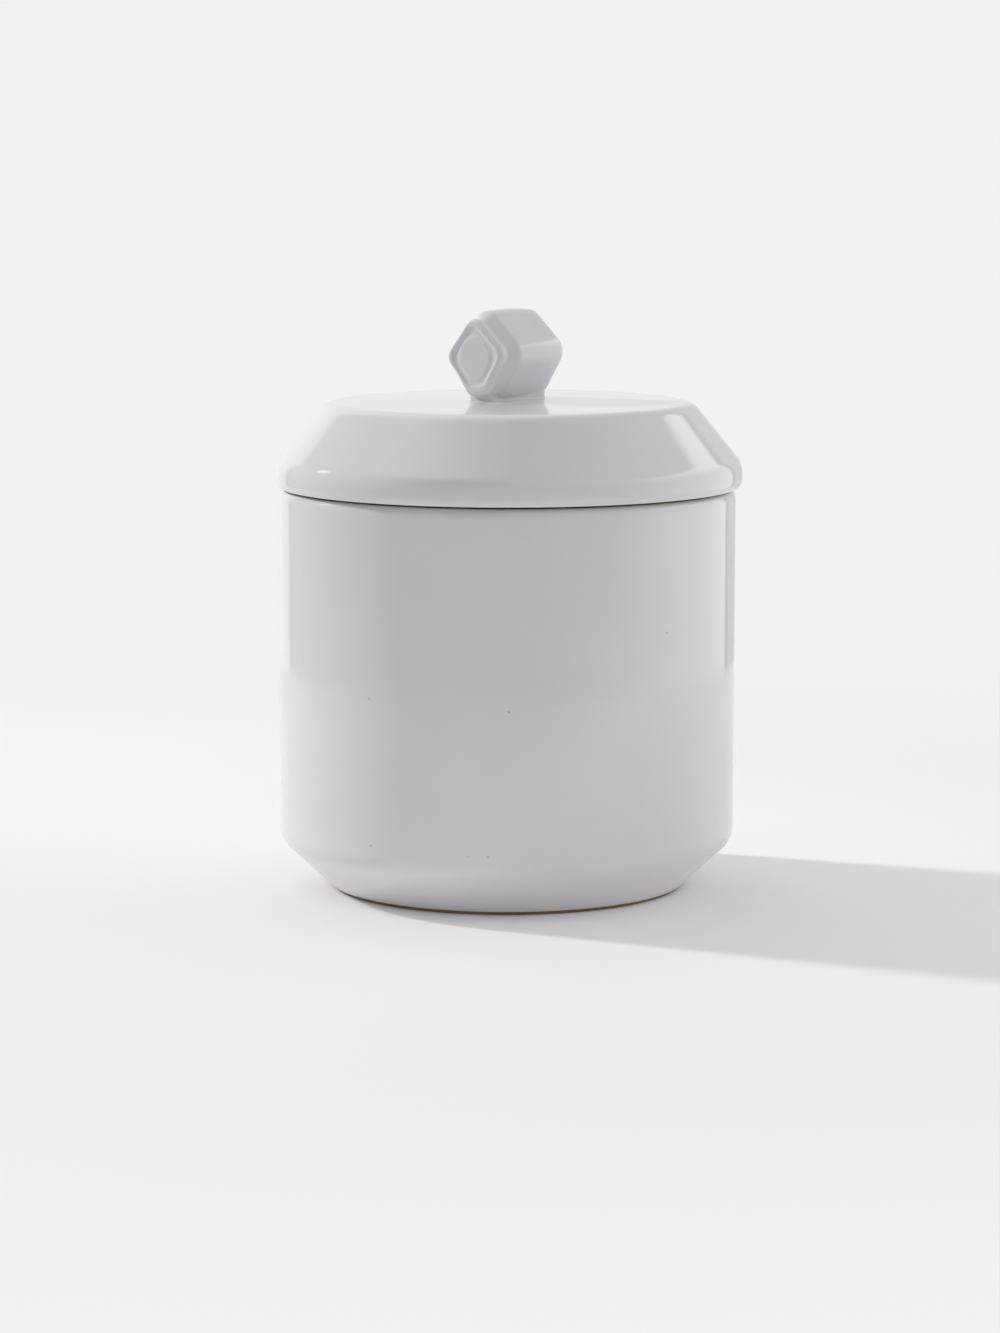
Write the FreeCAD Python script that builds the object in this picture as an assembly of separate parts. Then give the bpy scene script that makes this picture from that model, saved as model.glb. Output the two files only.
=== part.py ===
import FreeCAD, Part
import math
import os

# A round stoneware jar with a loose lid, glazed white, with bare clay at the foot and where the lid sits.
# Millimetres, +Z up. The origin is on the floor under the middle of the lid.
# Every outline runs in (radius, height), and heights start at the floor.

# The jar's clay
body_radius = 59.4
body_height = 105.3
wall_thickness = 4.4
floor_thickness = 6.0
bevel_height = 12.4
bevel_reach = 13.1
bevel_rounding = 5.8
rim_rounding = 2.8
rim_inner_rounding = 1.2
inside_corner_rounding = 12.0
foot_height = 1.0
foot_inset = 0.1
foot_ring_width = 6.0
foot_hollow_depth = 1.5
foot_rounding = 0.4

# The lid's clay
lid_overhang = 1.3
lid_height = 21.6
lid_band_height = 5.8
lid_bevel_reach = 12.8
lid_top_rounding = 4.4
lid_nose_rounding = 6.0
lid_edge_rounding = 2.4
lid_thickness = 4.5
lid_hollow_rounding = 5.0
flange_depth = 8.0
flange_thickness = 3.0
flange_rounding = 0.8

# The fits between the lid and the jar
seat_gap = 0.3
flange_clearance = 1.5
lid_shift = 0.47

# The glaze coats, and where each is wiped back from bare clay
outer_coat = 0.6
liner_coat = 0.5
knob_coat = 0.5
rim_wipe = 0.1
lid_edge_wipe = 0.45
mouth_wipe = 3.0
lid_liner_wipe = 4.0

# The knob's clay: a bar along its own Y, with Z up across its section
knob_length = 23.1
knob_half_width = 11.8
knob_ridge_height = 11.9
knob_sole_depth = 10.4
knob_sole_half_width = 3.7
knob_ridge_rounding = 4.0
knob_side_rounding = 4.3
knob_sole_rounding = 2.6
knob_offset = -1.02
knob_yaw = 42.0
knob_pitch = 0.7
knob_roll = 4.1
end_rim_thickness = 3.3
end_rim_inset = 1.8
end_rim_rounding = 0.5
shoulder_rounding = 2.2
dish_rim_width = 4.0
dish_depth = 0.4
dish_corner_rounding = 2.6
knob_set_back = 7.5
neck_height = 2.5
neck_half_width = 3.6
neck_length = 20.2
neck_rounding = 1.5
neck_bite = 0.6
neck_offset = -0.3
neck_yaw = 48.0

# How far a cutting shape runs past what it cuts
overrun = 5.0

UP = FreeCAD.Vector(0, 0, 1)


def save(node, shape):
    """Checks that a piece is one closed solid and writes it."""
    solid = shape.removeSplitter()
    assert solid.isValid() and len(solid.Solids) == 1, node
    solid.Solids[0].exportStep(f"parts/{node}.step")
    box = solid.optimalBoundingBox()
    print(
        f"{node}: {solid.Volume:.0f} mm3, "
        f"x {box.XMin:.2f}..{box.XMax:.2f}, z {box.ZMin:.2f}..{box.ZMax:.2f}"
    )
    return solid.Solids[0]


def shifted_corners(corners, distance, closed=False):
    """Moves an outline sideways, to the left of its direction, and keeps its roundings concentric."""
    count = len(corners)
    moved = []
    for i, (x, y, rounding) in enumerate(corners):
        before = corners[i - 1] if closed or i > 0 else None
        after = corners[(i + 1) % count] if closed or i < count - 1 else None
        normals = []
        for start, end in ((before, corners[i]), (corners[i], after)):
            if start and end:
                dx, dy = end[0] - start[0], end[1] - start[1]
                length = math.hypot(dx, dy)
                normals.append((-dy / length, dx / length))
        first, last = normals[0], normals[-1]
        stretch = 1 + first[0] * last[0] + first[1] * last[1]
        step_x = (first[0] + last[0]) * distance / stretch
        step_y = (first[1] + last[1]) * distance / stretch
        turn = first[0] * last[1] - first[1] * last[0]
        new_rounding = rounding - distance * math.copysign(1, turn) if rounding else 0
        moved.append((x + step_x, y + step_y, new_rounding))
    return moved


def rounded_wire(corners, place):
    """A closed wire of lines and tangent arcs through corners given as (x, y, rounding)."""
    count = len(corners)
    arcs = []
    for i, (x, y, rounding) in enumerate(corners):
        here = FreeCAD.Vector(x, y, 0)
        if not rounding:
            arcs.append((here, None, here))
            continue
        back = FreeCAD.Vector(*corners[i - 1][:2], 0).sub(here).normalize()
        on = FreeCAD.Vector(*corners[(i + 1) % count][:2], 0).sub(here).normalize()
        half = back.getAngle(on) / 2
        inward = back.add(on).normalize()
        reach = rounding / math.tan(half)
        nearest = rounding / math.sin(half) - rounding
        arcs.append((here + back * reach, here + inward * nearest, here + on * reach))
    edges = []
    for i, (start, middle, end) in enumerate(arcs):
        if middle:
            edges.append(Part.Arc(place(start), place(middle), place(end)).toShape())
        following = arcs[(i + 1) % count][0]
        if end.distanceToPoint(following) > Part.Vertex(end).Tolerance:
            edges.append(Part.makeLine(place(end), place(following)))
    return Part.Wire(edges)


def turned(corners, axis_x):
    """Turns an outline of (radius, height, rounding) about an upright axis."""
    wire = rounded_wire(corners, lambda p: FreeCAD.Vector(axis_x + p.x, 0, p.y))
    whole_turn = 360
    return Part.Face(wire).revolve(FreeCAD.Vector(axis_x, 0, 0), UP, whole_turn)


def height_on_slope(start, end, radius):
    """The height of the straight line from start to end at a radius."""
    return start[1] + (end[1] - start[1]) * (radius - start[0]) / (end[0] - start[0])


def slab(low, high, axis_x):
    """A disc wider than the whole object, used to trim a coat between two heights."""
    return Part.makeCylinder(
        body_radius + lid_overhang + overrun,
        high - low,
        FreeCAD.Vector(axis_x, 0, low),
        UP,
    )


# The jar stands a little to one side under its lid, because the lid has play in the mouth
jar_x = -lid_shift
bore_radius = body_radius - wall_thickness
floor_level = foot_hollow_depth + floor_thickness
bevel_top = foot_height + bevel_height
bevel_foot_radius = body_radius - bevel_reach
foot_radius = bevel_foot_radius - foot_inset

# The clay's outside from the mouth round to the foot ring, with the air on the left of its direction
jar_outline = [
    (bore_radius, body_height, 0),
    (body_radius, body_height, rim_rounding),
    (body_radius, bevel_top, bevel_rounding),
    (bevel_foot_radius, foot_height, 0),
]


def jar_body():
    """The thrown jar: rim, wall, bevel, foot ring, hollow underside and rounded inside corner."""
    foot_inner_radius = foot_radius - foot_ring_width
    under = [
        (foot_radius, foot_height, 0),
        (foot_radius, 0, foot_rounding),
        (foot_inner_radius, 0, foot_rounding),
        (foot_inner_radius, foot_hollow_depth, foot_rounding),
        (0, foot_hollow_depth, 0),
    ]
    inside = [
        (0, floor_level, 0),
        (bore_radius, floor_level, inside_corner_rounding),
    ]
    mouth = [(bore_radius, body_height, rim_inner_rounding)]
    return turned(mouth + jar_outline[1:] + under + inside, jar_x)


def jar_outer_glaze():
    """The outside coat, which ends just under the rim and at the foot."""
    coat = shifted_corners(jar_outline, outer_coat)
    outer = [(0, coat[0][1], 0)] + coat[1:] + [(0, coat[-1][1], 0)]
    trim = slab(foot_height, body_height - rim_wipe, jar_x)
    return turned(outer, jar_x).common(trim).cut(turned_clay_core())


def turned_clay_core():
    """The clay's outside as one filled form, for the coat to lie on."""
    core = [(0, body_height, 0)] + jar_outline[1:] + [(0, foot_height, 0)]
    return turned(core, jar_x)


def jar_inner_glaze():
    """The liner coat on the floor and wall, wiped back from the mouth."""
    liner_top = body_height - mouth_wipe
    clay_face = [
        (0, floor_level, 0),
        (bore_radius, floor_level, inside_corner_rounding),
        (bore_radius, liner_top, 0),
    ]
    coat_face = shifted_corners(clay_face, liner_coat)
    return turned(clay_face + coat_face[::-1], jar_x)


# The lid is centred on the part's own axis
lid_radius = body_radius + lid_overhang
seat_level = body_height + seat_gap
lid_top = seat_level + lid_height
nose_corner = seat_level + lid_band_height
lid_top_radius = lid_radius - lid_bevel_reach
flange_radius = bore_radius - flange_clearance
flange_inner_radius = flange_radius - flange_thickness

# The clay's outside from the middle of the top round to the seat
lid_outline = [
    (0, lid_top, 0),
    (lid_top_radius, lid_top, lid_top_rounding),
    (lid_radius, nose_corner, lid_nose_rounding),
    (lid_radius, seat_level, lid_edge_rounding),
    (0, seat_level, 0),
]


def lid_hollow_outline(depth):
    """The hollow's ceiling, and its slope at a depth under the lid's outside, down to the flange's bore."""
    ceiling = shifted_corners(lid_outline[:3], -depth)
    inner_radius = flange_inner_radius - (depth - lid_thickness)
    shoulder = height_on_slope(ceiling[1], ceiling[2], inner_radius)
    rounding = lid_hollow_rounding - (depth - lid_thickness)
    return [
        ceiling[0],
        (ceiling[1][0], ceiling[1][1], rounding),
        (inner_radius, shoulder, rounding),
    ]


def lid_shell():
    """The hollow lid: top, bevel, rounded nose and flat seat."""
    seat_inner = (flange_inner_radius, seat_level, 0)
    hollow = lid_hollow_outline(lid_thickness)
    return turned(lid_outline[:-1] + [seat_inner] + hollow[::-1], 0)


def lid_flange():
    """The ring under the lid that drops into the jar's mouth."""
    flange_foot = seat_level - flange_depth
    return turned(
        [
            (flange_inner_radius, seat_level, 0),
            (flange_radius, seat_level, 0),
            (flange_radius, flange_foot, flange_rounding),
            (flange_inner_radius, flange_foot, flange_rounding),
        ],
        0,
    )


def lid_outer_glaze():
    """The coat on the lid's outside, which ends just above the seat and goes round the knob's neck."""
    coat = shifted_corners(lid_outline, outer_coat)
    trim = slab(seat_level + lid_edge_wipe, lid_top + outer_coat, 0)
    return turned(coat, 0).common(trim).cut(turned(lid_outline, 0)).cut(knob_neck_prism(knob_coat))


def lid_inner_glaze():
    """The liner coat in the lid's hollow, wiped back above the flange."""
    liner_foot = seat_level + lid_liner_wipe
    clay_face = lid_hollow_outline(lid_thickness)
    coat_face = lid_hollow_outline(lid_thickness + liner_coat)
    clay_foot = (clay_face[-1][0], liner_foot, 0)
    coat_foot = (coat_face[-1][0], liner_foot, 0)
    return turned(clay_face + [clay_foot, coat_foot] + coat_face[::-1], 0)


# The knob's section seen from its front end: ridge, side, sole, side
knob_section = [
    (0, knob_ridge_height, knob_ridge_rounding),
    (knob_half_width, 0, knob_side_rounding),
    (knob_sole_half_width, -knob_sole_depth, knob_sole_rounding),
    (-knob_sole_half_width, -knob_sole_depth, knob_sole_rounding),
    (-knob_half_width, 0, knob_side_rounding),
]
knob_place = FreeCAD.Vector(knob_offset, knob_set_back, lid_top + neck_height + knob_sole_depth)


def placed_knob(shape):
    """Leans a knob form by its roll and pitch, turns it by its yaw and moves it onto the lid."""
    shape.rotate(FreeCAD.Vector(), FreeCAD.Vector(0, 1, 0), -knob_roll)
    shape.rotate(FreeCAD.Vector(), FreeCAD.Vector(1, 0, 0), knob_pitch)
    shape.rotate(FreeCAD.Vector(), UP, -knob_yaw)
    shape.translate(knob_place)
    return shape


def knob_prism(section, front, back, front_rounding=0, back_rounding=0):
    """A length of a knob section, with its end edges rounded."""
    wire = rounded_wire(section, lambda p: FreeCAD.Vector(p.x, front, p.y))
    prism = Part.Face(wire).extrude(FreeCAD.Vector(0, back - front, 0))
    for level, rounding in ((front, front_rounding), (back, back_rounding)):
        if rounding:
            boxes = [(edge, edge.BoundBox) for edge in prism.Edges]
            loop = [e for e, b in boxes if abs(b.YMin - level) + abs(b.YMax - level) < rounding]
            prism = prism.makeFillet(rounding, loop)
    return prism


def knob_form(coat):
    """The whole knob, grown by a coat: bar, front rim in a groove, and a dish in both ends."""
    front = -knob_length / 2 - coat
    back = knob_length / 2 + coat
    shoulder = front + end_rim_thickness
    bar_edge = shoulder_rounding + coat
    bar_section = shifted_corners(knob_section, coat, closed=True)
    rim_section = shifted_corners(knob_section, coat - end_rim_inset, closed=True)
    dish_corners = shifted_corners(knob_section, -dish_rim_width - coat, closed=True)
    dish_section = [(x, y, dish_corner_rounding - coat) for x, y, _ in dish_corners]
    bar = knob_prism(bar_section, shoulder, back, bar_edge, bar_edge)
    rim = knob_prism(rim_section, front, shoulder + bar_edge, end_rim_rounding + coat)
    front_dish = knob_prism(dish_section, front - overrun, front + dish_depth)
    back_dish = knob_prism(dish_section, back - dish_depth, back + overrun)
    return bar.fuse(rim).cut(front_dish).cut(back_dish)


def knob_neck_prism(coat):
    """The neck's upright form, from the lid's clay up into the knob's sole, grown by a coat."""
    half_width = neck_half_width + coat
    half_length = neck_length / 2 + coat
    rounding = neck_rounding + coat
    plan = [
        (half_width, half_length, rounding),
        (-half_width, half_length, rounding),
        (-half_width, -half_length, rounding),
        (half_width, -half_length, rounding),
    ]
    wire = rounded_wire(plan, lambda p: FreeCAD.Vector(p.x, p.y, 0))
    rise = knob_place.z - knob_sole_depth + neck_bite - lid_top
    prism = Part.Face(wire).extrude(UP * rise)
    prism.rotate(FreeCAD.Vector(), UP, -neck_yaw)
    prism.translate(FreeCAD.Vector(neck_offset, knob_set_back, lid_top))
    return prism


def knob():
    """The luted bar with its dished ends."""
    return placed_knob(knob_form(0))


def knob_neck():
    """The low pad that the bar sits on."""
    return knob_neck_prism(0).cut(placed_knob(knob_form(0)))


def knob_glaze():
    """The coat on the bar and on its neck, down to the lid."""
    clay = placed_knob(knob_form(0)).fuse(knob_neck_prism(0))
    grown = placed_knob(knob_form(knob_coat)).fuse(knob_neck_prism(knob_coat))
    return grown.cut(clay)


os.makedirs("parts", exist_ok=True)
for piece in (
    jar_body,
    jar_outer_glaze,
    jar_inner_glaze,
    lid_shell,
    lid_flange,
    lid_outer_glaze,
    lid_inner_glaze,
    knob_neck,
    knob,
    knob_glaze,
):
    save(piece.__name__, piece())
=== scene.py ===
import cmath
import math

import bmesh
import bpy
from mathutils import Matrix, Vector


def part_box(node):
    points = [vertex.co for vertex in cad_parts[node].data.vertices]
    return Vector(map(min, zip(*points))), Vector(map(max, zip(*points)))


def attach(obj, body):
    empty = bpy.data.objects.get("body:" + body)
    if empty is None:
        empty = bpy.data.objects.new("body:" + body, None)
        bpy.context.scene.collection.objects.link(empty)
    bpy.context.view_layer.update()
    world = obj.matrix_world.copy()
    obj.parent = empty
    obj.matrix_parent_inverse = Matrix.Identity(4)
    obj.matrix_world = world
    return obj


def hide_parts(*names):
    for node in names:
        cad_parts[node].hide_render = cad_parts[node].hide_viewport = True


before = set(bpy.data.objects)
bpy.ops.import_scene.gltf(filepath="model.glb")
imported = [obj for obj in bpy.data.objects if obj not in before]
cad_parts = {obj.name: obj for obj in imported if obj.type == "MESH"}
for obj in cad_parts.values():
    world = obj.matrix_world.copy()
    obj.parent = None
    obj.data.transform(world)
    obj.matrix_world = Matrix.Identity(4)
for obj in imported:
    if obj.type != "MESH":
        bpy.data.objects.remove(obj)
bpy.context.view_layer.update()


# The jar's clay
# A thrown and turned stoneware jar that fires brown. It is left bare where it stands on its foot ring,
# and on the rim and in the mouth, so that it sticks neither to the kiln shelf nor to its lid.

MM = 0.001


def linear(hex_colour):
    """An sRGB hex colour as a linear colour with alpha."""
    parts = [int(hex_colour[i:i + 2], 16) / 255 for i in (1, 3, 5)]
    return [p / 12.92 if p <= 0.04045 else ((p + 0.055) / 1.055) ** 2.4 for p in parts] + [1]


def add(tree, kind, settings=None, **links):
    """Adds a node. A link is named for an input, with _ for a space, or i and the input's number."""
    node = tree.nodes.new(kind)
    for name, value in (settings or {}).items():
        setattr(node, name, value)
    for name, value in links.items():
        by_number = name[0] == "i" and name[1:].isdigit()
        socket = node.inputs[int(name[1:])] if by_number else node.inputs[name.replace("_", " ")]
        if isinstance(value, bpy.types.NodeSocket):
            tree.links.new(value, socket)
        else:
            socket.default_value = value
    return node


def new_material(name):
    """An empty node material, its tree, and the object coordinates that its patterns lie in."""
    material = bpy.data.materials.new(name)
    material.use_nodes = True
    material.node_tree.nodes.clear()
    place = add(material.node_tree, "ShaderNodeTexCoord").outputs["Object"]
    return material, material.node_tree, place


def bare_stoneware():
    """Stoneware fired without glaze: matt, toasted brown, gritty with fine grog and a few iron grains."""
    clay_light, clay_dark, iron_grain = linear("#A5886B"), linear("#7C604A"), linear("#3B2A20")
    patch_size, grog_size, grain_spacing = 9 * MM, 0.7 * MM, 1.75 * MM
    grain_heart, grain_rim, grain_strength = 0.10, 0.22, 0.7
    grit_depth, grit_strength = 0.12 * MM, 0.6
    matt, stoneware_ior = 0.85, 1.5
    material, tree, place = new_material("bare_stoneware")
    patch = add(tree, "ShaderNodeTexNoise", Vector=place, Scale=1 / patch_size, Detail=4)
    grog = add(tree, "ShaderNodeTexNoise", Vector=place, Scale=1 / grog_size, Detail=3)
    grain = add(tree, "ShaderNodeTexVoronoi", Vector=place, Scale=1 / grain_spacing)
    tone = add(tree, "ShaderNodeMix", {"data_type": "RGBA"}, i0=patch.outputs[0], i6=clay_dark,
               i7=clay_light)
    is_grain = add(tree, "ShaderNodeMapRange", Value=grain.outputs["Distance"], From_Min=grain_heart,
                   From_Max=grain_rim, To_Min=grain_strength, To_Max=0)
    colour = add(tree, "ShaderNodeMix", {"data_type": "RGBA"}, i0=is_grain.outputs[0],
                 i6=tone.outputs[2], i7=iron_grain)
    bump = add(tree, "ShaderNodeBump", Height=grog.outputs[0], Distance=grit_depth,
               Strength=grit_strength)
    shader = add(tree, "ShaderNodeBsdfPrincipled", Base_Color=colour.outputs[2], Roughness=matt,
                 IOR=stoneware_ior, Normal=bump.outputs[0])
    add(tree, "ShaderNodeOutputMaterial", Surface=shader.outputs[0])
    return material


def dress(node, material):
    """Gives a packed clay piece its material."""
    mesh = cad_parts[node].data
    mesh.materials.clear()
    mesh.materials.append(material)


stoneware = bare_stoneware()
dress("jar_body", stoneware)


# The jar's outside glaze
# A white stoneware glaze, poured over the leather-hard jar and wiped off the foot and the rim.
# In the firing it melts to an even glossy coat, whose ends draw up into soft round lips.

def path(corners, arc_step=6, run=3.0, guard=0.3):
    """Points along an open outline of (radius, height, rounding) corners, as complex numbers. An arc is
    cut every arc_step degrees, and a straight stretch about every run, with a point by each end of it."""
    spots = [complex(x, y) for x, y, _ in corners]
    arcs = [spots[:1]]
    for before, corner, after, (_, _, rounding) in zip(spots, spots[1:], spots[2:], corners[1:]):
        back = (before - corner) / abs(before - corner)
        on = (after - corner) / abs(after - corner)
        half = abs(cmath.phase(on / back)) / 2
        centre = corner + (back + on) / abs(back + on) * rounding / math.sin(half)
        first = corner + back * rounding / math.tan(half) - centre
        last = corner + on * rounding / math.tan(half) - centre
        turn = cmath.phase(last / first)
        steps = math.ceil(abs(math.degrees(turn)) / arc_step)
        arcs.append([centre + first * cmath.exp(1j * turn * k / steps) for k in range(steps + 1)])
    arcs.append(spots[-1:])
    points = list(arcs[0])
    for arc, following in zip(arcs, arcs[1:]):
        gap = following[0] - arc[-1]
        margin = min(guard / abs(gap), 1 / 4)
        pieces = math.ceil(abs(gap) * (1 - 2 * margin) / run)
        points += [arc[-1] + gap * (margin + (1 - 2 * margin) * k / pieces) for k in range(pieces + 1)]
        points += following
    return points


def between(points, low, high):
    """The stretch of an outline that lies between two heights."""
    for level in (low, high):
        cut = []
        for start, end in zip(points, points[1:]):
            cut.append(start)
            if (start.imag - level) * (end.imag - level) < 0:
                cut.append(start + (end - start) * (level - start.imag) / (end.imag - start.imag))
        points = cut + points[-1:]
    slack = 1e-6
    return [p for p in points if low - slack <= p.imag <= high + slack]


def lip(air, clay, reach, steps=8):
    """The round end of a coat, from the last point of its air side to the last of its clay side."""
    if abs(air[-1].real) < reach:
        return []
    onward = (air[-1] - air[-2]) / abs(air[-1] - air[-2])
    middle, half = (air[-1] + clay[-1]) / 2, (air[-1] - clay[-1]) / 2
    angles = [math.pi * k / steps for k in range(1, steps)]
    return [middle + half * math.cos(a) + onward * reach * math.sin(a) for a in angles]


def shifted(corners, distance):
    """An open outline moved to the left of its direction, with its roundings kept concentric."""
    moved = []
    for i, (x, y, rounding) in enumerate(corners):
        normals = []
        for (x0, y0, _), (x1, y1, _) in zip(corners[max(i - 1, 0):], corners[max(i - 1, 0) + 1:i + 2]):
            length = math.hypot(x1 - x0, y1 - y0)
            normals.append(((y0 - y1) / length, (x1 - x0) / length))
        (ax, ay), (bx, by) = normals[0], normals[-1]
        reach = distance / (1 + ax * bx + ay * by)
        turn = math.copysign(1, ax * by - ay * bx)
        concentric = rounding and rounding - distance * turn
        moved.append((x + (ax + bx) * reach, y + (ay + by) * reach, concentric))
    return moved


def coat_outline(clay_corners, thickness, low, high, reach=0.2):
    """The section of a coat of even thickness on a clay face, with the air on the left."""
    air = between(path(shifted(clay_corners, thickness)), low, high)
    clay = between(path(clay_corners), low, high)
    return air + lip(air, clay, reach) + clay[::-1] + lip(clay[::-1], air[::-1], reach)


def wheel():
    """A tree that turns an outline, given as mesh points in (radius, 0, height), about an upright axis."""
    tree = bpy.data.node_groups.new("turned on the wheel", "GeometryNodeTree")
    face = tree.interface
    for name, kind in (
        ("Outline", "NodeSocketGeometry"),
        ("Segments", "NodeSocketInt"),
        ("Rows", "NodeSocketInt"),
        ("Axis X", "NodeSocketFloat"),
        ("Weld", "NodeSocketFloat"),
        ("Glaze", "NodeSocketMaterial"),
    ):
        face.new_socket(name, in_out="INPUT", socket_type=kind)
    face.new_socket("Turned", in_out="OUTPUT", socket_type="NodeSocketGeometry")
    given = add(tree, "NodeGroupInput").outputs
    count = add(tree, "GeometryNodeAttributeDomainSize", i0=given["Outline"]).outputs["Point Count"]
    around = add(tree, "ShaderNodeMath", {"operation": "ADD"}, i0=given["Segments"], i1=1).outputs[0]
    grid = add(tree, "GeometryNodeMeshGrid", Vertices_X=given["Rows"], Vertices_Y=around)
    index = add(tree, "GeometryNodeInputIndex").outputs[0]
    row = add(tree, "ShaderNodeMath", {"operation": "DIVIDE"}, i0=index, i1=around)
    row = add(tree, "ShaderNodeMath", {"operation": "FLOOR"}, i0=row.outputs[0])
    point = add(tree, "ShaderNodeMath", {"operation": "MODULO"}, i0=row.outputs[0], i1=count)
    column = add(tree, "ShaderNodeMath", {"operation": "MODULO"}, i0=index, i1=around)
    part = add(tree, "ShaderNodeMath", {"operation": "DIVIDE"}, i0=column.outputs[0],
               i1=given["Segments"])
    angle = add(tree, "ShaderNodeMath", {"operation": "MULTIPLY"}, i0=part.outputs[0], i1=math.tau)
    place = add(tree, "GeometryNodeInputPosition").outputs[0]
    spot = add(tree, "GeometryNodeSampleIndex", {"data_type": "FLOAT_VECTOR"}, Geometry=given["Outline"],
               Value=place, Index=point.outputs[0])
    spun = add(tree, "ShaderNodeVectorRotate", {"rotation_type": "Z_AXIS"}, Vector=spot.outputs[0],
               Angle=angle.outputs[0])
    axis = add(tree, "ShaderNodeCombineXYZ", X=given["Axis X"])
    moved = add(tree, "ShaderNodeVectorMath", {"operation": "ADD"}, i0=spun.outputs[0],
                i1=axis.outputs[0])
    shape = add(tree, "GeometryNodeSetPosition", Geometry=grid.outputs["Mesh"],
                Position=moved.outputs[0])
    closed = add(tree, "GeometryNodeMergeByDistance", Geometry=shape.outputs[0], Distance=given["Weld"])
    smooth = add(tree, "GeometryNodeSetShadeSmooth", Geometry=closed.outputs[0])
    real = add(tree, "GeometryNodeRealizeInstances", Geometry=smooth.outputs[0])
    glazed = add(tree, "GeometryNodeSetMaterial", Geometry=real.outputs[0], Material=given["Glaze"])
    add(tree, "NodeGroupOutput", Turned=glazed.outputs[0])
    return tree


def baked(piece, material):
    """A piece whose modifiers are turned into its own plain mesh, closed, facing outwards and smooth."""
    bpy.context.scene.collection.objects.link(piece)
    graph = bpy.context.evaluated_depsgraph_get()
    mesh = bpy.data.meshes.new_from_object(piece.evaluated_get(graph))
    piece.modifiers.clear()
    piece.data = mesh
    shell = bmesh.new()
    shell.from_mesh(mesh)
    bmesh.ops.recalc_face_normals(shell, faces=shell.faces)
    shell.to_mesh(mesh)
    shell.free()
    mesh.shade_smooth()
    mesh.materials.clear()
    mesh.materials.append(material)
    return piece


def turned(name, outline, axis_x, material, segments=288):
    """A glaze coat turned from its section, which is open where it starts and ends on the axis."""
    chain = bpy.data.meshes.new(name)
    chain.from_pydata([(p.real * MM, 0, p.imag * MM) for p in outline], [], [])
    piece = bpy.data.objects.new(name, chain)
    turning = piece.modifiers.new("turning", "NODES")
    turning.node_group = potters_wheel
    slack = 1e-6
    on_axis = abs(outline[0].real) < slack
    sizes = {
        "Segments": segments,
        "Rows": len(outline) + (0 if on_axis else 1),
        "Axis X": axis_x,
        "Weld": 0.001 * MM,
        "Glaze": material,
    }
    for item in potters_wheel.interface.items_tree:
        if item.name in sizes:
            turning[item.identifier] = sizes[item.name]
    return baked(piece, material)


def white_glaze(name, glaze_hex, speck_share):
    """A glossy zircon-white stoneware glaze: opaque, with faint clouds where it is thinner, fine iron
    specks that rise from the clay under it, and the slight dimpling that it keeps from the kiln."""
    glaze, thin_glaze, iron = linear(glaze_hex), linear("#DFDAD8"), linear("#5A4638")
    cloud_size, cloud_start, cloud_full, cloud_strength = 34 * MM, 0.35, 0.75, 0.35
    speck_spacing, speck_radius, speck_strength = 5 * MM, 0.3 * MM, 0.5
    speck_rim, speck_heart = -0.004, 0.02
    dimple_size, dimple_depth = 5.5 * MM, 0.02 * MM
    least_rough, most_rough, glaze_ior = 0.04, 0.10, 1.5
    material, tree, place = new_material(name)
    cloud = add(tree, "ShaderNodeTexNoise", Vector=place, Scale=1 / cloud_size, Detail=3, Roughness=0.45)
    cloudy = add(tree, "ShaderNodeMapRange", Value=cloud.outputs[0], From_Min=cloud_start,
                 From_Max=cloud_full, To_Min=0, To_Max=cloud_strength)
    tone = add(tree, "ShaderNodeMix", {"data_type": "RGBA"}, i0=cloudy.outputs[0], i6=glaze,
               i7=thin_glaze)
    cells = add(tree, "ShaderNodeTexVoronoi", Vector=place, Scale=1 / speck_spacing)
    chance = add(tree, "ShaderNodeSeparateColor", Color=cells.outputs["Color"])
    size = add(tree, "ShaderNodeMapRange", Value=chance.outputs[0], From_Min=1 - speck_share, From_Max=1,
               To_Min=0, To_Max=speck_radius / speck_spacing)
    inside = add(tree, "ShaderNodeMath", {"operation": "SUBTRACT"}, i0=size.outputs[0],
                 i1=cells.outputs["Distance"])
    speck = add(tree, "ShaderNodeMapRange", Value=inside.outputs[0], From_Min=speck_rim,
                From_Max=speck_heart, To_Min=0, To_Max=speck_strength)
    colour = add(tree, "ShaderNodeMix", {"data_type": "RGBA"}, i0=speck.outputs[0],
                 i6=tone.outputs[2], i7=iron)
    dimples = add(tree, "ShaderNodeTexNoise", Vector=place, Scale=1 / dimple_size, Detail=1)
    bump = add(tree, "ShaderNodeBump", Height=dimples.outputs[0], Distance=dimple_depth, Strength=1)
    gloss = add(tree, "ShaderNodeMapRange", Value=cloud.outputs[0], To_Min=least_rough,
                To_Max=most_rough)
    shader = add(tree, "ShaderNodeBsdfPrincipled", Base_Color=colour.outputs[2],
                 Roughness=gloss.outputs[0], IOR=glaze_ior, Normal=bump.outputs[0])
    add(tree, "ShaderNodeOutputMaterial", Surface=shader.outputs[0])
    return material


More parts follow.
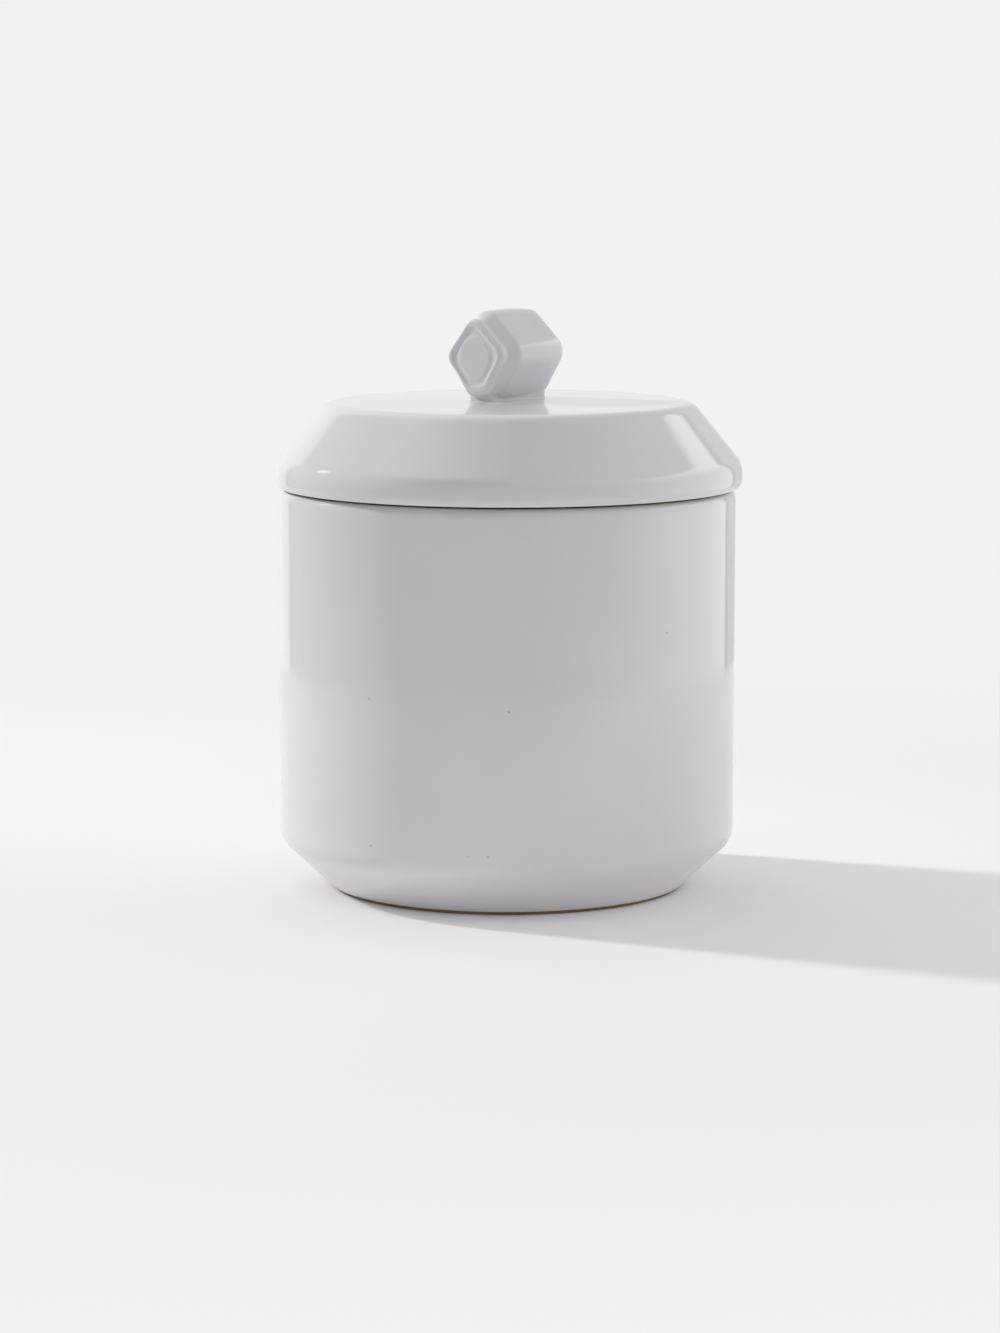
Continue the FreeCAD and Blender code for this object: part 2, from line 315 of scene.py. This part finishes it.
potters_wheel = wheel()
outer_glaze = white_glaze("zircon_white_glaze", "#EAE8EC", 0.3)
low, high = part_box("jar_outer_glaze")
jar_axis = (low.x + high.x) / 2
jar_coat, foot_wipe = 0.6, 0.1
jar_clay_radius = (high.x - low.x) / 2 / MM - jar_coat
rim_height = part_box("jar_body")[1].z / MM
foot_line, rim_line = low.z / MM, high.z / MM
rim_rounding, wall_thickness = 2.8, 4.4
bevel_top, bevel_reach, bevel_rounding = 13.4, 13.1, 5.8
jar_clay_face = [
    (jar_clay_radius - wall_thickness, rim_height, 0),
    (jar_clay_radius, rim_height, rim_rounding),
    (jar_clay_radius, bevel_top, bevel_rounding),
    (jar_clay_radius - bevel_reach, foot_line, 0),
]
jar_glaze = turned(
    "jar_glaze_coat",
    coat_outline(jar_clay_face, jar_coat, foot_line + foot_wipe, rim_line),
    jar_axis,
    outer_glaze,
)
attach(jar_glaze, "jar")
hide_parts("jar_outer_glaze")


# The jar's liner glaze
# A white glaze, poured in and swirled round before the outside is done. It covers the floor and the wall,
# and is wiped back from the mouth, where the lid's flange hangs.

liner_glaze = white_glaze("liner_white_glaze", "#E6E2DE", 0.2)
low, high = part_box("jar_inner_glaze")
liner_coat, inside_rounding = 0.5, 12.0
jar_floor, jar_liner_top = low.z / MM, high.z / MM
bore_radius = (high.x - low.x) / 2 / MM
jar_inside_face = [
    (0, jar_floor, 0),
    (bore_radius, jar_floor, inside_rounding),
    (bore_radius, jar_liner_top, 0),
]
jar_liner = turned(
    "jar_liner_coat",
    coat_outline(jar_inside_face, liner_coat, jar_floor, jar_liner_top),
    jar_axis,
    liner_glaze,
)
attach(jar_liner, "jar")
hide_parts("jar_inner_glaze")


# The lid's clay and its flange
# A turned hollow lid with a flat seat, and a ring luted under it that keeps it centred in the mouth.
# Both are the jar's stoneware, and are bare where they meet the jar.

dress("lid_shell", stoneware)
dress("lid_flange", stoneware)


# The lid's outside glaze
# The white glaze on the lid's flat top, its bevel and its rounded nose. It is wiped back just above the
# seat, and meets the knob's own coat round the foot of its neck.

low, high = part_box("lid_outer_glaze")
lid_coat, lid_glaze_run = 0.6, 0.2
lid_clay_radius = (high.x - low.x) / 2 / MM - lid_coat
lid_clay_top, lid_glaze_foot = high.z / MM - lid_coat, low.z / MM - lid_glaze_run
lid_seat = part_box("lid_shell")[0].z / MM
lid_band, lid_bevel_reach = 5.8, 12.8
lid_top_rounding, lid_nose_rounding, lid_edge_rounding = 4.4, 6.0, 2.4
lid_clay_face = [
    (0, lid_clay_top, 0),
    (lid_clay_radius - lid_bevel_reach, lid_clay_top, lid_top_rounding),
    (lid_clay_radius, lid_seat + lid_band, lid_nose_rounding),
    (lid_clay_radius, lid_seat, lid_edge_rounding),
    (lid_clay_radius - 2 * lid_edge_rounding, lid_seat, 0),
]
lid_glaze = turned(
    "lid_glaze_coat",
    coat_outline(lid_clay_face, lid_coat, lid_glaze_foot, lid_clay_top + lid_coat),
    0,
    outer_glaze,
)
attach(lid_glaze, "lid")
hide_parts("lid_outer_glaze")


# The lid's liner glaze
# The liner glaze again, in the lid's hollow, from the ceiling down to just above the flange.

low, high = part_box("lid_inner_glaze")
lid_thickness, hollow_rounding = 4.5, 5.0
hollow_radius = (high.x - low.x) / 2 / MM
lid_liner_foot = low.z / MM
_, ceiling_corner, slope_end = shifted(lid_clay_face[:3], -lid_thickness)
slope = (slope_end[1] - ceiling_corner[1]) / (slope_end[0] - ceiling_corner[0])
shoulder = ceiling_corner[1] + slope * (hollow_radius - ceiling_corner[0])
lid_hollow_face = [
    (hollow_radius, lid_liner_foot, 0),
    (hollow_radius, shoulder, hollow_rounding),
    (ceiling_corner[0], ceiling_corner[1], hollow_rounding),
    (0, ceiling_corner[1], 0),
]
lid_liner = turned(
    "lid_liner_coat",
    coat_outline(lid_hollow_face, liner_coat, lid_liner_foot, ceiling_corner[1])[::-1],
    0,
    liner_glaze,
)
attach(lid_liner, "lid")
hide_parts("lid_inner_glaze")


# The knob and its neck
# A short bar of clay, square in section and set on its edge, luted on a low neck. Both are hidden under
# the knob's own coat of glaze.

dress("knob", stoneware)
dress("knob_neck", stoneware)


# The knob's glaze
# The white glaze on the bar and the neck. It rounds every edge, softens the rim and the dish of the front
# end, stands thick in the groove behind the rim and runs out onto the lid round the neck.

knob_coat = 0.5
knob_length, knob_crown = 23.4, 0.8
knob_half_width, knob_ridge, knob_sole, knob_sole_half_width = 11.8, 11.9, 10.4, 3.7
ridge_rounding, side_rounding, sole_rounding = 4.0, 4.3, 1.2
knob_pitch, knob_roll, knob_yaw, neck_yaw = 0.7, -4.1, -42, -48
knob_offset, neck_offset, knob_set_back = -1.02, -0.3, 7.5
neck_height, neck_bite = 2.5, 0.6
bar_section = [
    (0, -knob_sole, 0),
    (-knob_sole_half_width, -knob_sole, sole_rounding),
    (-knob_half_width, 0, side_rounding),
    (0, knob_ridge, ridge_rounding),
    (knob_half_width, 0, side_rounding),
    (knob_sole_half_width, -knob_sole, sole_rounding),
    (0, -knob_sole, 0),
]
ring_points = 240


def section_ring(growth, scale=1.0):
    """Points round the bar's section, grown or shrunk evenly and evenly spaced in angle. A shrunk ring has
    softer corners, and one that is shrunk past inner_growth is scaled down from there."""
    inner_growth, inner_reach = -3.4, 9.5
    softness, softest, softest_sole = 1.4, 4.5, 2.8
    least_rounding, least_sole_rounding = 1.8, 1.3
    if growth < inner_growth:
        scale *= 1 + (growth - inner_growth) / inner_reach
        growth = inner_growth
    soft = min(max(-growth, 0) * softness, softest)
    upper_least = max(least_rounding, soft)
    sole_least = max(least_sole_rounding, min(soft, softest_sole))
    corners = []
    for x, y, rounding in shifted(bar_section, growth):
        least = sole_least if y < -knob_sole / 2 else upper_least
        corners.append((x, y, rounding and max(rounding, least)))
    outline = path(corners, arc_step=3, run=0.5, guard=0.1)
    heading = [cmath.phase(p * 1j) % math.tau for p in outline[:-1]]
    order = sorted(range(len(heading)), key=heading.__getitem__)
    ring = []
    k = 0
    for i in range(ring_points):
        wanted = math.tau * i / ring_points
        while k < len(order) and heading[order[k]] < wanted:
            k += 1
        a, b = outline[order[k - 1]], outline[order[k % len(order)]]
        ray = cmath.exp(1j * wanted) / 1j
        cross = (b - a).real * ray.imag - (b - a).imag * ray.real
        reach = ((b - a).real * a.imag - (b - a).imag * a.real) / cross
        ring.append(ray * reach * scale)
    return ring


def lofted(rings):
    """Corners and faces of a closed form through rings of equal count, shut by a fan at each end."""
    count = len(rings[0])
    corners = [p for ring in rings for p in ring]
    middles = [sum(ring, Vector()) / count for ring in (rings[0], rings[-1])]
    faces = []
    for k in range(len(rings) - 1):
        for i in range(count):
            j = (i + 1) % count
            faces.append((k * count + i, k * count + j, (k + 1) * count + j, (k + 1) * count + i))
    last = (len(rings) - 1) * count
    for i in range(count):
        j = (i + 1) % count
        faces.append((len(corners), j, i))
        faces.append((len(corners) + 1, last + i, last + j))
    return corners + middles, faces


def bar_rings():
    """The bar's rings from the middle of the front dish, over its rim and groove, to the back dish. The
    glaze of the rim and the groove sags a little on the underside."""
    front = -knob_length / 2 - knob_coat
    back = -front
    dish_middle, dish_edge, channel, rim_inside, rim_outside, groove = -5.8, -4.5, -3.0, -1.6, -0.35, -1.4
    dish_depth, channel_depth, groove_place, bar_place = 0.2, 0.5, 2.8, 5.6
    back_rim, back_dish_edge, back_dish_middle, back_dish_depth = -2.4, -3.4, -4.2, 0.6
    collar_sag, collar_inside = 0.9, -1.8
    profile = path([
        (dish_middle, front + dish_depth, 0),
        (dish_edge, front + dish_depth, 1.2),
        (channel, front + channel_depth, 1.0),
        (rim_inside, front, 1.0),
        (rim_outside, front, 1.3),
        (groove, front + groove_place, 1.0),
        (knob_coat, front + bar_place, 2.4),
        (knob_coat, back, 2.7),
        (back_rim, back, 0.7),
        (back_dish_edge, back - back_dish_depth, 0.8),
        (back_dish_middle, back - back_dish_depth, 0),
    ], arc_step=8, run=0.8, guard=0.15)
    first, last = profile[0], profile[-1]
    dish_shares = [0.1, 0.3, 0.5, 0.7, 0.9]
    rings = [(first.real, share, first.imag) for share in dish_shares]
    rings += [(p.real, 1, p.imag) for p in profile]
    rings += [(last.real, share, last.imag) for share in reversed(dish_shares)]
    made = []
    for growth, share, along in rings:
        crown = knob_crown * (1 - (along / front) ** 2)
        sag = min(max(-growth, 0), collar_sag) if growth > collar_inside else 0
        ring = []
        for p in section_ring(growth + crown, share):
            low_share = min(max((-p.imag - knob_sole / 2) / (knob_sole / 3), 0), 1)
            ring.append(Vector((p.real, along, p.imag - sag * low_share)))
        made.append(ring)
    return made


def neck_rings():
    """The neck's rings from the lid's clay, out and in over the glaze that pools round it, to the bar."""
    half_width, half_length, rounding = 4.15, 10.65, 2.0
    pool, overlap = 0.4, 0.2
    levels = [(0, pool)]
    steps = 6
    for k in range(steps + 1):
        angle = math.pi / 2 * k / steps
        levels.append((lid_coat + pool * (1 - math.cos(angle)), pool * (1 - math.sin(angle))))
    levels.append((neck_height + neck_bite + overlap, 0))
    made = []
    for level, spread in levels:
        plan = [
            (0, -half_length, 0),
            (-half_width, -half_length, rounding),
            (-half_width, half_length, rounding),
            (half_width, half_length, rounding),
            (half_width, -half_length, rounding),
            (0, -half_length, 0),
        ]
        outline = path(shifted(plan, spread), arc_step=6, run=0.6, guard=0.1)[:-1]
        made.append([Vector((p.real, p.imag, level)) for p in outline])
    return made


def turn_about(axis, degrees):
    """A turn about one axis through the middle."""
    return Matrix.Rotation(math.radians(degrees), 4, axis)


def knob_coat_mesh():
    """The bar and the neck as two closed forms in one mesh, in place on the lid."""
    bar_lean = turn_about("X", knob_pitch) @ turn_about("Y", knob_roll)
    bar_turn, neck_turn = turn_about("Z", knob_yaw), turn_about("Z", neck_yaw)
    bar_middle = Vector((knob_offset, knob_set_back, lid_clay_top + neck_height + knob_sole))
    neck_foot = Vector((neck_offset, knob_set_back, lid_clay_top))
    shell = bpy.data.meshes.new("knob_glaze_coat")
    bar_corners, bar_faces = lofted(bar_rings())
    neck_corners, neck_faces = lofted(neck_rings())
    bar_corners = [(bar_turn @ bar_lean @ p + bar_middle) * MM for p in bar_corners]
    neck_corners = [(neck_turn @ p + neck_foot) * MM for p in neck_corners]
    count = len(bar_corners)
    neck_faces = [[count + i for i in face] for face in neck_faces]
    shell.from_pydata(bar_corners + neck_corners, [], bar_faces + neck_faces)
    return shell


melted = bpy.data.objects.new("knob_glaze_coat", knob_coat_mesh())
melting = melted.modifiers.new("melting", "REMESH")
melting.mode = "VOXEL"
melting.voxel_size = 0.17 * MM
softening = melted.modifiers.new("softening", "SMOOTH")
softening.factor = 0.5
softening.iterations = 8
knob_glaze = baked(melted, outer_glaze)
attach(knob_glaze, "lid")
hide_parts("knob_glaze")


# The studio
# A matt white table in a wide pale bowl that only the camera sees, and one small lamp on the left and
# behind. The glaze mirrors the lamp's softbox and surroundings of bright and dark zones.

floor_tone = 0.887
lamp_direction = Vector((-0.91, 0.415, 0.62))
lamp_distance = 1.55


def staged(name, shape, material):
    """A piece of the studio from a bmesh form."""
    mesh = bpy.data.meshes.new(name)
    shape.to_mesh(mesh)
    shape.free()
    mesh.materials.append(material)
    piece = bpy.data.objects.new(name, mesh)
    bpy.context.scene.collection.objects.link(piece)
    return piece


def hung(piece, distance):
    """Hangs a piece of the studio in the lamp's direction, facing the jar."""
    direction = lamp_direction.normalized()
    piece.location = direction * distance
    piece.rotation_mode = "QUATERNION"
    piece.rotation_quaternion = direction.to_track_quat("Z", "Y")


def unseen(piece, *rays):
    """Hides a piece of the studio from the kinds of ray that are named."""
    for ray in rays:
        setattr(piece, "visible_" + ray, False)


def even_glow(name, strength):
    """One even tone all over, which lights nothing by itself."""
    material, tree, _ = new_material(name)
    glow = add(tree, "ShaderNodeEmission", Strength=strength)
    add(tree, "ShaderNodeOutputMaterial", Surface=glow.outputs[0])
    material.cycles.emission_sampling = "NONE"
    return material


def table_paper():
    """Matt white paper that takes the shadow. Its tone is painted darker towards the lamp, as painted
    shade that evens out the lamp's falloff, and a faint painted glow on it stands in for the room's light.
    It fades at the table's edge into the tone beyond."""
    paper_shaded_by_lamp, paper_away, half_span = 0.79, 0.89, 0.25
    fade_start, fade_end, painted_room_glow = 0.18, 0.44, 0.082
    material, tree, place = new_material("table_paper")
    away = Vector((-lamp_direction.x, -lamp_direction.y, 0)).normalized()
    along = add(tree, "ShaderNodeVectorMath", {"operation": "DOT_PRODUCT"}, i0=place, i1=away)
    # Painted shade: the paper's tone runs darker towards the lamp and paler away from it, to even out the
    # lamp's falloff.
    painted_evening_shade = add(tree, "ShaderNodeMapRange", Value=along.outputs["Value"], From_Min=-half_span,
                  From_Max=half_span, To_Min=paper_shaded_by_lamp, To_Max=paper_away)
    distance = add(tree, "ShaderNodeVectorMath", {"operation": "LENGTH"}, i0=place)
    edge = add(tree, "ShaderNodeMapRange", {"interpolation_type": "SMOOTHSTEP"},
               Value=distance.outputs["Value"], From_Min=fade_start, From_Max=fade_end)
    tone = add(tree, "ShaderNodeCombineColor", Red=painted_evening_shade.outputs[0], Green=painted_evening_shade.outputs[0],
               Blue=painted_evening_shade.outputs[0])
    matt = add(tree, "ShaderNodeBsdfDiffuse", Color=tone.outputs[0])
    # A faint painted glow on the paper, standing in for the room's light.
    painted_glow = add(tree, "ShaderNodeEmission", Strength=painted_room_glow)
    paper = add(tree, "ShaderNodeAddShader", i0=matt.outputs[0], i1=painted_glow.outputs[0])
    glow = add(tree, "ShaderNodeEmission", Strength=floor_tone)
    both = add(tree, "ShaderNodeMixShader", i0=edge.outputs[0], i1=paper.outputs[0], i2=glow.outputs[0])
    add(tree, "ShaderNodeOutputMaterial", Surface=both.outputs[0])
    material.cycles.emission_sampling = "NONE"
    return material


def studio_floor():
    """The table under the jar, and the bowl, whose flat floor lies just under the table."""
    table_radius, bowl_radius, bowl_drop, edge_segments = 0.45, 7.5, 0.001, 96
    table = bmesh.new()
    bmesh.ops.create_circle(table, cap_ends=True, segments=edge_segments, radius=table_radius)
    staged("table", table, table_paper())
    bowl = bmesh.new()
    bmesh.ops.create_circle(bowl, cap_ends=True, segments=edge_segments, radius=bowl_radius)
    bmesh.ops.translate(bowl, verts=bowl.verts, vec=(0, 0, -bowl_drop))
    bmesh.ops.create_icosphere(bowl, subdivisions=5, radius=bowl_radius)
    backdrop = staged("backdrop", bowl, even_glow("pale_backdrop", floor_tone))
    unseen(backdrop, "diffuse", "glossy", "transmission", "volume_scatter", "shadow")


def studio_surround():
    """The surroundings as zones of light. A sector and a band are two edges, each followed by the width
    over which it fades, in degrees: of bearing to the right of the view's direction, and of height. A
    sector then has a light for each of its bands."""
    world = bpy.data.worlds.new("studio")
    world.use_nodes = True
    tree = world.node_tree
    tree.nodes.clear()
    bpy.context.scene.world = world
    way = add(tree, "ShaderNodeSeparateXYZ", Vector=add(tree, "ShaderNodeTexCoord").outputs["Generated"])
    bearing = add(tree, "ShaderNodeMath", {"operation": "ARCTAN2"}, i0=way.outputs["X"],
                  i1=way.outputs["Y"])
    height = add(tree, "ShaderNodeMath", {"operation": "ARCSINE"}, i0=way.outputs["Z"])
    bands = [(-90, 1, 24, 14), (24, 14, 52, 16)]
    board_bands = [(-90, 1, 24, 14), (24, 14, 33, 4), (33, 4, 52, 16)]
    top_band = (52, 16, 91, 1)
    sectors = [
        ((-39, 4, -14, 16), (1.045, 0.898)),
        ((-14, 16, 10, 12), (0.863, 0.648)),
        ((10, 12, 34, 8), (0.612, 0.567)),
        ((110, 30, 181, 1), (0.247, 0.732)),
        ((-181, 1, -115, 30), (0.458, 0.002)),
        ((-115, 30, -70, 20), (0.302, 0.257)),
        ((-70, 20, -41, 4), (0.439, 0.206)),
    ]
    board_sectors = [
        ((37, 3, 66, 20), (1.288, 2.3, 0.45)),
        ((66, 20, 110, 30), (1.160, 2.3, 0.7)),
    ]
    top_sectors = [
        ((-181, 1, 0, 60), 1.088),
        ((0, 60, 181, 1), 0.554),
    ]
    zones = [(sector, band, lights[k]) for k, band in enumerate(bands) for sector, lights in sectors]
    zones += [
        (sector, band, lights[k]) for k, band in enumerate(board_bands) for sector, lights in board_sectors
    ]
    zones += [(sector, top_band, light) for sector, light in top_sectors]
    total = 0.0
    for (left, left_fade, right, right_fade), (bottom, bottom_fade, top, top_fade), light in zones:
        lit = light
        for value, edge, fade, rising in (
            (bearing, left, left_fade, True),
            (bearing, right, right_fade, False),
            (height, bottom, bottom_fade, True),
            (height, top, top_fade, False),
        ):
            fade_from, fade_to = math.radians(edge - fade / 2), math.radians(edge + fade / 2)
            share = add(tree, "ShaderNodeMapRange", Value=value.outputs[0], From_Min=fade_from,
                        From_Max=fade_to, To_Min=0 if rising else 1, To_Max=1 if rising else 0)
            lit = add(tree, "ShaderNodeMath", {"operation": "MULTIPLY"}, i0=lit, i1=share.outputs[0])
            lit = lit.outputs[0]
        total = add(tree, "ShaderNodeMath", {"operation": "ADD"}, i0=total, i1=lit).outputs[0]
    light_round = add(tree, "ShaderNodeBackground", Color=(1, 1, 1, 1), Strength=total)
    add(tree, "ShaderNodeOutputWorld", Surface=light_round.outputs[0])


def studio_lamp():
    """One small round lamp, which throws the long shadow."""
    lamp_radius, lamp_watts = 0.058, 12.3
    lamp = bpy.data.lights.new("key", "AREA")
    lamp.shape = "DISK"
    lamp.size = 2 * lamp_radius
    lamp.energy = lamp_watts
    key = bpy.data.objects.new("key", lamp)
    hung(key, lamp_distance)
    unseen(key, "camera", "glossy")
    bpy.context.scene.collection.objects.link(key)


def studio_glint():
    """The lamp's softbox as the glaze shows it: wider and fainter than the bare lamp."""
    softbox_radius, softbox_glow, softbox_distance = 0.11, 3.5, lamp_distance * 1.02
    disc = bmesh.new()
    bmesh.ops.create_circle(disc, cap_ends=True, segments=48, radius=softbox_radius)
    cloth = staged("softbox", disc, even_glow("softbox_cloth", softbox_glow))
    hung(cloth, softbox_distance)
    unseen(cloth, "camera", "diffuse", "shadow")


def studio_camera():
    """The photograph's view: a little down on the lid, from over a metre away."""
    place, downward, film_height, focal_length = Vector((-2.27, -1093, 208)), 7.83, 36, 112.83
    lens = bpy.data.cameras.new("camera")
    lens.sensor_fit = "VERTICAL"
    lens.sensor_height = film_height
    lens.lens = focal_length
    camera = bpy.data.objects.new("camera", lens)
    camera.location = place * MM
    camera.rotation_euler = (math.radians(90 - downward), 0, 0)
    bpy.context.scene.collection.objects.link(camera)
    bpy.context.scene.camera = camera


studio_floor()
studio_surround()
studio_lamp()
studio_glint()
studio_camera()
bpy.context.scene.view_settings.view_transform = "Standard"
